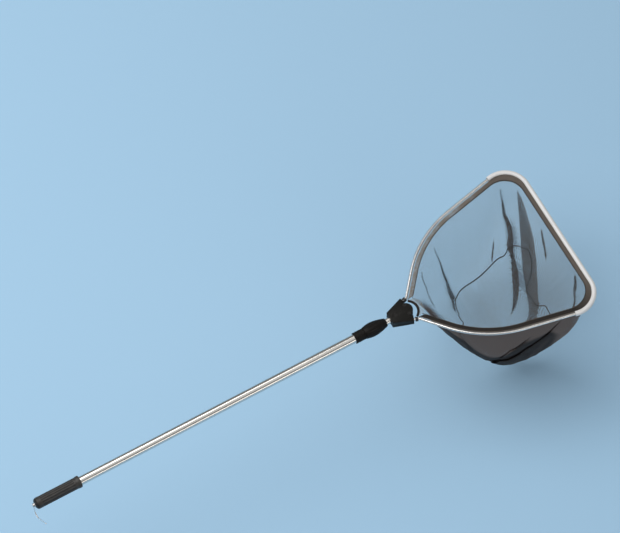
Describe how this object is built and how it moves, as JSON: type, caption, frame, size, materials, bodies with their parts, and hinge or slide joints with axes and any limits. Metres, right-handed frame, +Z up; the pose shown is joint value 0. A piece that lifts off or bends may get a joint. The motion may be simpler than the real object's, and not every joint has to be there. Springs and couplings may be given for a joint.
{
  "type": "telescopic pond net",
  "caption": "Telescopic pond net with a fluted grip, swivelling hanging hook, twist lock, fan-shaped head block, clamped wire frame, white edge guard and deep black mesh bag.",
  "frame": {"origin": "middle of the grip, on the axis of the pole", "axes": "+X along the pole from the grip to the head, +Y to the left across the frame, +Z up out of the bag's mouth"},
  "size_m": [1.308, 0.3882, 0.2966],
  "materials": {
    "tube_metal": "satin drawn aluminium tube",
    "grip_plastic": "satin black moulded grip",
    "hook_steel": "bright plated steel wire",
    "lock_plastic": "satin black moulded plastic",
    "inner_plastic": "natural white nylon",
    "block_plastic": "black moulded plastic with fine grain",
    "fastener_steel": "black-oxide steel",
    "frame_metal": "bright drawn rod",
    "guard_plastic": "white extruded plastic",
    "hem_net": "black nylon mesh, doubled",
    "bag_net": "black nylon mesh, see-through"
  },
  "bodies": {
    "handle": {"outer_tube": "tube_metal", "grip": "grip_plastic", "grip_end_cap": "grip_plastic", "hook_screw": "hook_steel", "lock_body": "lock_plastic", "lock_collet": "inner_plastic"},
    "lock_nut": {"lock_nut": "lock_plastic"},
    "hook": {"hanging_hook": "hook_steel"},
    "slider": {"guide_bush": "inner_plastic"},
    "head": {"inner_tube": "tube_metal", "bush_stop_ring": "fastener_steel", "tube_end_plug": "block_plastic", "neck_plug": "block_plastic", "head_block_top": "block_plastic", "head_block_bottom": "block_plastic", "head_screws": "fastener_steel", "head_nuts": "fastener_steel", "frame_wire": "frame_metal", "edge_guard": "guard_plastic", "net_hem": "hem_net", "hem_end_bands": "hem_net", "back_cord": "hem_net", "net_bag": "bag_net"}
  },
  "joints": [
    {"name": "pole_slide", "type": "slide", "parent": "handle", "child": "slider", "axis": [1, 0, 0], "range_m": [-0.0097, 0.697]},
    {"name": "head_turn", "type": "hinge", "parent": "slider", "child": "head", "pos_m": [0.043, 0, 0], "axis": [1, 0, 0], "range_deg": [-90, 90]},
    {"name": "lock_nut_turn", "type": "hinge", "parent": "handle", "child": "lock_nut", "pos_m": [0.77, 0, 0], "axis": [1, 0, 0], "range_deg": [0, 180]},
    {"name": "hook_swing", "type": "hinge", "parent": "handle", "child": "hook", "pos_m": [-0.0567, 0, 0], "axis": [1, 0, 0], "continuous": true}
  ]
}
